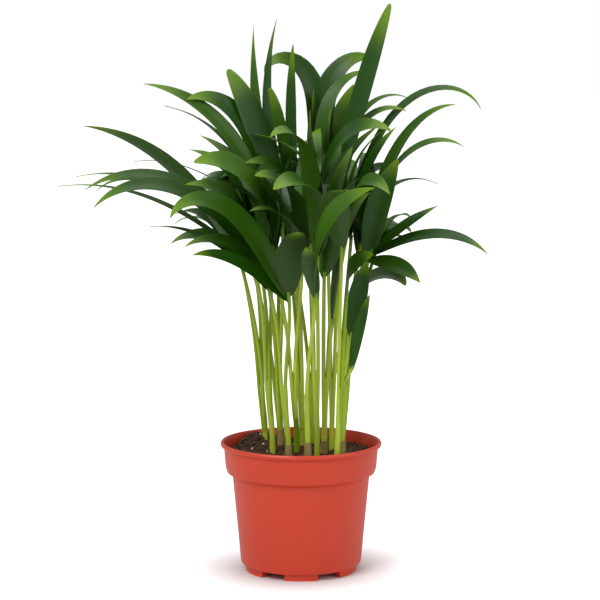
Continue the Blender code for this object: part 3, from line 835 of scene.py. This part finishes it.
def seated_feet(fronds):
    """Each petiole's foot on its cane's top, the ones that lean furthest left on the left-hand seats."""
    feet = {}
    for number, cane in enumerate(CANES):
        top = np.array(cane.top, dtype=float) + (0.0, 0.0, GAP)
        standing = [name for name, frond in fronds.items() if frond.cane == number + 1]
        standing.sort(key=lambda name: fronds[name].node[0])
        places = sorted(seats(max(1, len(standing))), key=lambda place: place[0])
        for name, place in zip(standing, places):
            feet[name] = top + place
    return feet


def grow(fronds):
    """Settles every petiole and leaflet clear of every other node.

    Returns each frond's foot, node and heading, and its leaflets as (leaflet, root, swing).
    """
    space = Space()
    for number, cane in enumerate(CANES):
        radii = np.linspace(CANE_FOOT_RADIUS, CANE_TOP_RADIUS, CANE_RINGS) + CLEARANCE
        space.add(f"cane_{number + 1:02d}", *tube_shape(cane_line(cane), radii, CANE_SIDES, True))
    feet = seated_feet(fronds)
    petioles = {}
    radii = np.full(PETIOLE_RINGS, PETIOLE_RADIUS + 0.5 * CLEARANCE)
    for name, frond in fronds.items():
        foot = feet[name]
        for swing in SWINGS:
            node = np.array(frond.node, dtype=float) + (0.0, swing, 0.0)
            heading = heading_of(frond, foot, node)
            tested = tube_shape(petiole_line(foot, node, heading, PETIOLE_RINGS), radii, PETIOLE_SIDES)
            if space.is_clear(name, *tested):
                break
        space.add(name, *tested)
        petioles[name] = (foot, node, heading)
    grown = {}
    for name, (foot, node, heading) in petioles.items():
        leaves = []
        for k, leaflet in enumerate(fronds[name].leaflets):
            root = node - heading * (ROOT_SUNK + ROOT_STEP * k)
            for swing in SWINGS:
                tested = coarse_leaf(leaflet, root, swing)
                if space.is_clear(name, *tested):
                    space.add(name, *tested)
                    leaves.append((leaflet, root, swing))
                    break
        grown[name] = (foot, node, heading, leaves)
    return grown


def stand(name, data):
    """Puts a new object with this data into the scene."""
    item = bpy.data.objects.new(name, data)
    bpy.context.scene.collection.objects.link(item)
    return item


class Sheet:
    """Gathers the points, faces, material slots and colour places of one piece before it is written."""

    def __init__(self):
        self.points = []
        self.faces = []
        self.slots = []
        self.along = []
        self.side = []
        self.tone = []

    def add(self, points, faces, slots=None, along=None, tone=0.0, side=None):
        start = len(self.points)
        self.points.extend(points)
        self.faces.extend(tuple(start + k for k in face) for face in faces)
        self.slots.extend(slots or [0] * len(faces))
        self.along.extend(along or [0.0] * len(points))
        self.side.extend(side or [0.0] * len(points))
        self.tone.extend([tone] * len(points))

    def write(self, name, materials, crease=CREASE):
        mesh = bpy.data.meshes.new(name)
        mesh.from_pydata([tuple(float(c) * MM for c in point) for point in self.points], [], self.faces)
        for material in materials:
            mesh.materials.append(material)
        mesh.polygons.foreach_set("material_index", self.slots)
        for title in ("along", "side", "tone"):
            layer = mesh.attributes.new(title, "FLOAT", "POINT")
            layer.data.foreach_set("value", [float(value) for value in getattr(self, title)])
        bm = bmesh.new()
        bm.from_mesh(mesh)
        bmesh.ops.recalc_face_normals(bm, faces=bm.faces[:])
        bm.to_mesh(mesh)
        bm.free()
        mesh.shade_smooth()
        mesh.set_sharp_from_angle(angle=math.radians(crease))
        return stand(name, mesh)


def fix_piece(piece, slot, *nodes):
    """Fixes a finished piece to the plant and hides the solids that it stands for."""
    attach(piece, "root")
    if nodes:
        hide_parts(*nodes)


def add_node(tree, kind, values=None, **options):
    """A new shader node with its options, and then its sockets' values, set by name."""
    node = tree.nodes.new("ShaderNode" + kind)
    for option, value in options.items():
        setattr(node, option, value)
    for socket, value in (values or {}).items():
        node.inputs[socket].default_value = value
    return node


def link(tree, *joins):
    """Joins sockets, each join given as a node, its output, the next node and its input."""
    for source, output, target, socket in joins:
        tree.links.new(source.outputs[output], target.inputs[socket])


def new_material(name, roughness):
    material = bpy.data.materials.new(name)
    material.use_nodes = True
    shader = material.node_tree.nodes["Principled BSDF"]
    shader.inputs["Roughness"].default_value = roughness
    return material, material.node_tree, shader


def mottle_group():
    """Two colours blended by noise of a given size; also puts the noise out for relief."""
    known = bpy.data.node_groups.get("mottle")
    if known:
        return known
    tree = bpy.data.node_groups.new("mottle", "ShaderNodeTree")
    for title, kind in (("Light", "Color"), ("Dark", "Color"), ("Scale", "Float"), ("Share", "Float")):
        tree.interface.new_socket(title, in_out="INPUT", socket_type="NodeSocket" + kind)
    for title, kind in (("Color", "Color"), ("Height", "Float")):
        tree.interface.new_socket(title, in_out="OUTPUT", socket_type="NodeSocket" + kind)
    inside = tree.nodes.new("NodeGroupInput")
    outside = tree.nodes.new("NodeGroupOutput")
    where = add_node(tree, "TexCoord")
    grain = add_node(tree, "TexNoise", {"Detail": 5.0})
    scaled = add_node(tree, "Math", operation="MULTIPLY")
    blend = add_node(tree, "Mix", data_type="RGBA")
    link(
        tree,
        (where, "Object", grain, "Vector"),
        (inside, "Scale", grain, "Scale"),
        (grain, "Fac", scaled, 0),
        (inside, "Share", scaled, 1),
        (scaled, 0, blend, "Factor"),
        (inside, "Light", blend, "A"),
        (inside, "Dark", blend, "B"),
        (blend, "Result", outside, "Color"),
        (grain, "Fac", outside, "Height"),
    )
    return tree


def mottle_node(tree, light, dark, scale, share):
    """The shared mottle, placed in a material with its own values."""
    values = {"Light": (*light, 1.0), "Dark": (*dark, 1.0), "Scale": scale, "Share": share}
    return add_node(tree, "Group", values, node_tree=mottle_group())


def mottled(name, light, dark, scale, share, roughness, relief=0.0, depth=0.0002):
    """A matt or satin stuff in two shades, its relief following the same noise."""
    material, tree, shader = new_material(name, roughness)
    group = mottle_node(tree, light, dark, scale, share)
    link(tree, (group, "Color", shader, "Base Color"))
    if relief:
        bump = add_node(tree, "Bump", {"Strength": relief, "Distance": depth})
        link(tree, (group, "Height", bump, "Height"), (bump, "Normal", shader, "Normal"))
    return material


def living(name, body, pale, tip, roughness):
    """A leaf's or stem's skin: body to pale by its tone, then to tip along its last part, finely veined. On
    a leaflet the tip colour is its yellow-green end with painted glow of light shining through it; on a stem
    it is a deeper green.
    """
    material, tree, shader = new_material(name, roughness)
    shader.inputs["Specular IOR Level"].default_value = LEAF_GLOSS
    along = add_node(tree, "Attribute", attribute_name="along")
    side = add_node(tree, "Attribute", attribute_name="side")
    tone = add_node(tree, "Attribute", attribute_name="tone")
    dark = [LEAF_DARKENING * c for c in body]
    group = mottle_node(tree, body, dark, LEAF_MOTTLE_SCALE, LEAF_MOTTLE_SHARE)
    toned = add_node(tree, "Mix", {"B": (*pale, 1.0)}, data_type="RGBA")
    # Towards a leaflet's end: its yellow-green together with painted glow of light shining through the leaf;
    # on a stem, deeper green
    tip_tint_and_glow = add_node(tree, "Mix", {"B": (*tip, 1.0)}, data_type="RGBA")
    ramp_values = {"From Min": TIP_TINT_AND_GLOW_START, "From Max": 1.0, "To Max": TIP_TINT_AND_GLOW_STRENGTH}
    ramp = add_node(tree, "MapRange", ramp_values, interpolation_type="SMOOTHSTEP")
    stripe = add_node(tree, "Math", {1: VEIN_COUNT}, operation="MULTIPLY")
    wave = add_node(tree, "Math", operation="SINE")
    relief = add_node(tree, "Bump", {"Strength": VEIN_RELIEF, "Distance": VEIN_DEPTH})
    link(
        tree,
        (tone, "Fac", toned, "Factor"),
        (group, "Color", toned, "A"),
        (along, "Fac", ramp, "Value"),
        (ramp, "Result", tip_tint_and_glow, "Factor"),
        (toned, "Result", tip_tint_and_glow, "A"),
        (tip_tint_and_glow, "Result", shader, "Base Color"),
        (side, "Fac", stripe, 0),
        (stripe, 0, wave, 0),
        (wave, 0, relief, "Height"),
        (relief, "Normal", shader, "Normal"),
    )
    return material


def clay_plastic(settings):
    look = {"roughness": settings.roughness, "relief": 0.12}
    return mottled("pot_plastic", settings.colour, settings.shade, scale=22.0, share=0.6, **look)


def stem_green(settings):
    return living("stem_green", settings.colour, settings.pale, settings.shade, roughness=0.38)


def dry_sheath(settings):
    dark = [SHEATH_DARKENING * c for c in settings.sheath]
    return mottled("dry_sheath", settings.sheath, dark, scale=160.0, share=1.1, roughness=0.75, relief=0.4)


def soil_stuffs(settings):
    """The materials of the soil and of what lies on it: earth, crumbs, perlite and fibres."""
    colour = settings.colour
    shade = settings.shade
    lit = [CRUMB_LIGHTENING * c for c in colour]
    white = ((0.85, 0.80, 0.70), (0.45, 0.36, 0.26))
    brown = ((0.24, 0.12, 0.05), (0.08, 0.035, 0.012))
    rough = {"roughness": 0.95, "relief": 0.8, "depth": 0.001}
    return (
        mottled("potting_soil", colour, shade, scale=400.0, share=1.4, **rough),
        mottled("soil_crumb", lit, shade, scale=900.0, share=1.2, roughness=0.9),
        mottled("perlite", *white, scale=300.0, share=0.8, roughness=0.9),
        mottled("soil_fibre", *brown, scale=300.0, share=0.8, roughness=0.9),
    )


def tint(name, description, default):
    return FloatVectorProperty(name=name, description=description, subtype="COLOR", size=3, default=default)


def gloss(description, default):
    return FloatProperty(name="Roughness", description=description, default=default, min=0.0, max=1.0)


def tally(name, description, default):
    return IntProperty(name=name, description=description, default=default, min=0)


def measure(name, description, default, unit="NONE"):
    return FloatProperty(name=name, description=description, default=default, unit=unit)


class PotSettings(bpy.types.PropertyGroup):
    colour: tint("Colour", "Clay-red plastic", (0.63, 0.045, 0.010))
    shade: tint("Shade", "Darker cloud in the plastic", (0.55, 0.033, 0.008))
    roughness: gloss("Gloss of the plastic", 0.42)


class SoilSettings(bpy.types.PropertyGroup):
    colour: tint("Colour", "Damp crumbs", (0.085, 0.040, 0.016))
    shade: tint("Shade", "Wet hollows", (0.012, 0.004, 0.001))
    crumbs: tally("Crumbs", "How many loose crumbs lie on top", 3400)
    perlite: tally("Perlite", "How many white grains show", 95)
    fibres: tally("Fibres", "How many brown fibres lie on top", 320)


class StemSettings(bpy.types.PropertyGroup):
    colour: tint("Colour", "Lime-green stem", (0.230, 0.380, 0.010))
    shade: tint("Shade", "Deeper green at a petiole's top", (0.090, 0.230, 0.006))
    pale: tint("Pale stem", "Colour of the palest stems", (0.440, 0.540, 0.045))
    sheath: tint("Sheath", "Dry sheath at a cane's foot", (0.36, 0.27, 0.07))


class LeafSettings(bpy.types.PropertyGroup):
    upper: tint("Upper face", "Deep glossy green", (0.014, 0.070, 0.001))
    under: tint("Underside", "Softer green below", (0.021, 0.064, 0.003))
    pale: tint("Pale leaf", "Colour of the palest leaves", (0.050, 0.140, 0.006))
    # A leaflet's yellow-green end, with painted glow of light shining through it mixed in
    tip: tint("Tip", "Yellow-green of a leaflet's end", (0.165, 0.310, 0.004))
    roughness: gloss("Gloss of the upper face", 0.30)


class StageSettings(bpy.types.PropertyGroup):
    eye_distance: measure("Eye distance", "From the pot's axis to the camera", 1.5, "LENGTH")
    eye_height: measure("Eye height", "Height of the camera", 0.3798, "LENGTH")
    pitch: measure("Pitch", "How far the camera looks down", 0.118, "ROTATION")
    lens: measure("Lens", "Focal length of the camera", 122.74, "CAMERA")
    key: measure("Key light", "Power of the main soft light", 21.0, "POWER")
    fill: measure("Fill light", "Power of each of the other lights", 7.5, "POWER")
    sky: measure("Surround", "Strength of the surround's light on the plant", 0.5)


class PALM_OT_pot(bpy.types.Operator):
    """Builds the pot with its band, lip and feet"""

    bl_idname = "palm.pot"
    bl_label = "Pot"

    def execute(self, context):
        sheet = Sheet()
        sheet.add(*turned_shape(pot_outside() + pot_inside(), POT_SIDES))
        for k in range(FOOT_COUNT):
            sheet.add(*foot_shape(FIRST_FOOT_FACING + 360.0 * k / FOOT_COUNT))
        pad = [(0.0, 0.0), (PAD_RADIUS, 0.0), (PAD_RADIUS, FOOT_TOP), (0.0, FOOT_TOP)]
        sheet.add(*turned_shape(pad, PAD_SIDES))
        plastic = clay_plastic(context.scene.palm_pot)
        fix_piece(sheet.write("nursery_pot", [plastic], POT_CREASE), "pot", "pot")
        return {"FINISHED"}


class PALM_OT_soil(bpy.types.Operator):
    """Builds the soil with its crumbs, perlite and fibres"""

    bl_idname = "palm.soil"
    bl_label = "Soil"

    def execute(self, context):
        settings = context.scene.palm_soil
        draw = random.Random(SEED)
        earth, crumb, white, brown = soil_stuffs(settings)
        sheet = Sheet()
        sheet.add(*soil_shape())
        fix_piece(sheet.write("potting_soil", [earth]), "soil", "soil")
        for title, count, (smallest, largest), material in (
            ("soil_crumbs", settings.crumbs, CRUMB_SIZES, crumb),
            ("perlite_grains", settings.perlite, PERLITE_SIZES, white),
        ):
            sheet = Sheet()
            for _ in range(count):
                x, y = scattered(draw, GRAIN_REACH)
                size = smallest + (largest - smallest) * draw.random() ** SMALL_GRAIN_BIAS
                sheet.add(*crumb_shape(draw, x, y, size))
            fix_piece(sheet.write(title, [material], CRUMB_CREASE), "soil")
        sheet = Sheet()
        for _ in range(settings.fibres):
            sheet.add(*fine_tube(fibre_line(draw), np.full(FIBRE_RINGS, FIBRE_RADIUS)))
        fix_piece(sheet.write("soil_fibres", [brown]), "soil")
        return {"FINISHED"}


class PALM_OT_canes(bpy.types.Operator):
    """Builds the canes that rise from the soil, with their dry sheaths"""

    bl_idname = "palm.canes"
    bl_label = "Canes"

    def execute(self, context):
        settings = context.scene.palm_stem
        materials = [stem_green(settings), dry_sheath(settings)]
        draw = random.Random(SEED + 1)
        share = np.linspace(0.0, 1.0, FINE_CANE_RINGS)
        radii = CANE_FOOT_RADIUS - FINE_CANE_TAPER * share
        for number, cane in enumerate(CANES):
            line = resampled(share, np.linspace(0.0, 1.0, CANE_RINGS), cane_line(cane))
            line[0, 2] -= CANE_SUNK
            sheet = Sheet()
            sheet.add(*fine_tube(line, radii, 0, CANE_COLOUR_REACH), draw.random())
            if number + 1 in SHEATHED_CANES:
                rings = SHEATH_RINGS + int(draw.random() * SHEATH_RINGS)
                sheet.add(*fine_tube(line[:rings], radii[:rings] + np.linspace(*SHEATH_THICKNESS, rings), 1))
            name = f"cane_{number + 1:02d}"
            fix_piece(sheet.write(name + "_stem", materials), "cane", name)
        return {"FINISHED"}


class PALM_OT_fronds(bpy.types.Operator):
    """Builds every frond: its petiole and its arching leaflets"""

    bl_idname = "palm.fronds"
    bl_label = "Fronds"

    def execute(self, context):
        settings = context.scene.palm_leaf
        rough = settings.roughness
        # The leaf materials' tip colour holds painted glow of light shining through a leaflet's end as well
        # as its yellow-green
        materials = [
            stem_green(context.scene.palm_stem),
            living("leaf_upper", settings.upper, settings.pale, settings.tip, rough),
            living("leaf_under", settings.under, settings.pale, settings.tip, rough + UNDER_ROUGHENING),
        ]
        draw = random.Random(SEED + 2)
        fronds = {**FRONDS, **rear_fronds(random.Random(REAR_SEED))}
        for name, (foot, node, heading, leaves) in grow(fronds).items():
            petiole = petiole_line(foot, node, heading, FINE_PETIOLE_RINGS)
            line = np.vstack([slipped_in(foot, CANES[fronds[name].cane - 1]), petiole])
            radii = np.linspace(PETIOLE_RADIUS, PETIOLE_TIP_RADIUS, len(line)) + STEM_FULLNESS
            sheet = Sheet()
            sheet.add(*fine_tube(line, radii), draw.random())
            for leaf in leaves + inner_leaflets(draw, node):
                *shape, side = fine_leaf(*leaf)
                sheet.add(*shape, draw.random() ** PALE_RARITY, side)
            fix_piece(sheet.write(name + "_frond", materials), "leaf", "frond_" + name)
        return {"FINISHED"}


def white_surround(sky):
    """A white world that is seen at full strength and lights the plant with the strength sky."""
    world = bpy.data.worlds.new("white_surround")
    world.use_nodes = True
    tree = world.node_tree
    surround = tree.nodes["Background"]
    surround.inputs["Color"].default_value = WHITE
    seen = add_node(tree, "LightPath")
    strength = add_node(tree, "MapRange", {"To Min": sky, "To Max": 1.0})
    link(tree, (seen, "Is Camera Ray", strength, "Value"), (strength, "Result", surround, "Strength"))
    return world


def white_floor():
    """Pale matt floor whose glow, seen directly only, fades out under the pot."""
    material, tree, shader = new_material("white_floor", roughness=0.9)
    shader.inputs["Base Color"].default_value = FLOOR_SHADE
    shader.inputs["Emission Color"].default_value = WHITE
    shader.inputs["Specular IOR Level"].default_value = 0.1
    seen = add_node(tree, "LightPath")
    spot = add_node(tree, "NewGeometry")
    away = add_node(tree, "VectorMath", operation="LENGTH")
    fade = add_node(tree, "MapRange", {"From Min": GLOW_START, "From Max": GLOW_FULL, "To Max": FLOOR_GLOW})
    glow = add_node(tree, "Math", operation="MULTIPLY")
    link(
        tree,
        (spot, "Position", away, 0),
        (away, "Value", fade, "Value"),
        (seen, "Is Camera Ray", glow, 0),
        (fade, "Result", glow, 1),
        (glow, 0, shader, "Emission Strength"),
    )
    return material


def soft_light(name, spot, size, power):
    """A square area light that faces the middle of the plant."""
    data = bpy.data.lights.new(name, "AREA")
    data.size = size
    data.energy = power
    light = stand(name, data)
    light.location = spot
    light.rotation_mode = "QUATERNION"
    light.rotation_quaternion = (Vector(LIGHT_AIM) - Vector(spot)).to_track_quat("-Z", "Y")


class PALM_OT_stage(bpy.types.Operator):
    """Sets the white floor, the soft lights and the camera"""

    bl_idname = "palm.stage"
    bl_label = "Stage"

    def execute(self, context):
        settings = context.scene.palm_stage
        scene = context.scene
        scene.view_settings.view_transform = "Standard"
        scene.world = white_surround(settings.sky)
        mesh = bpy.data.meshes.new("floor")
        corners = [(x * FLOOR_REACH, y * FLOOR_REACH, 0.0) for x, y in ((-1, -1), (1, -1), (1, 1), (-1, 1))]
        mesh.from_pydata(corners, [], [(0, 1, 2, 3)])
        mesh.materials.append(white_floor())
        floor = stand("floor", mesh)
        for name, spot, size, power in LIGHTS:
            soft_light(name, spot, size, getattr(settings, power))
        data = bpy.data.cameras.new("camera")
        data.lens = settings.lens
        data.sensor_width = SENSOR_WIDTH
        data.shift_x = CAMERA_SHIFT
        camera = stand("camera", data)
        camera.location = (0.0, -settings.eye_distance, settings.eye_height)
        camera.rotation_euler = (math.pi / 2 - settings.pitch, 0.0, 0.0)
        scene.camera = camera
        return {"FINISHED"}


class PALM_PT_panel(bpy.types.Panel):
    """Lists the palm's pieces and their settings"""

    bl_label = "Potted palm"
    bl_space_type = "VIEW_3D"
    bl_region_type = "UI"
    bl_category = "Palm"

    def draw(self, context):
        for operator, group, title in STEPS:
            self.layout.operator(operator.bl_idname)
            for setting in group.__annotations__:
                self.layout.prop(getattr(context.scene, title), setting)


STEPS = (
    (PALM_OT_pot, PotSettings, "palm_pot"),
    (PALM_OT_soil, SoilSettings, "palm_soil"),
    (PALM_OT_canes, StemSettings, "palm_stem"),
    (PALM_OT_fronds, LeafSettings, "palm_leaf"),
    (PALM_OT_stage, StageSettings, "palm_stage"),
)
CLASSES = (*(group for _, group, _ in STEPS), *(operator for operator, _, _ in STEPS), PALM_PT_panel)


def register():
    for item in CLASSES:
        bpy.utils.register_class(item)
    for _, group, title in STEPS:
        setattr(bpy.types.Scene, title, PointerProperty(type=group))


def unregister():
    for _, _, title in STEPS:
        delattr(bpy.types.Scene, title)
    for item in reversed(CLASSES):
        bpy.utils.unregister_class(item)


def main():
    register()
    bpy.ops.palm.pot()
    bpy.ops.palm.soil()
    bpy.ops.palm.canes()
    bpy.ops.palm.fronds()
    bpy.ops.palm.stage()
    bpy.context.view_layer.update()


if __name__ == "__main__":
    main()
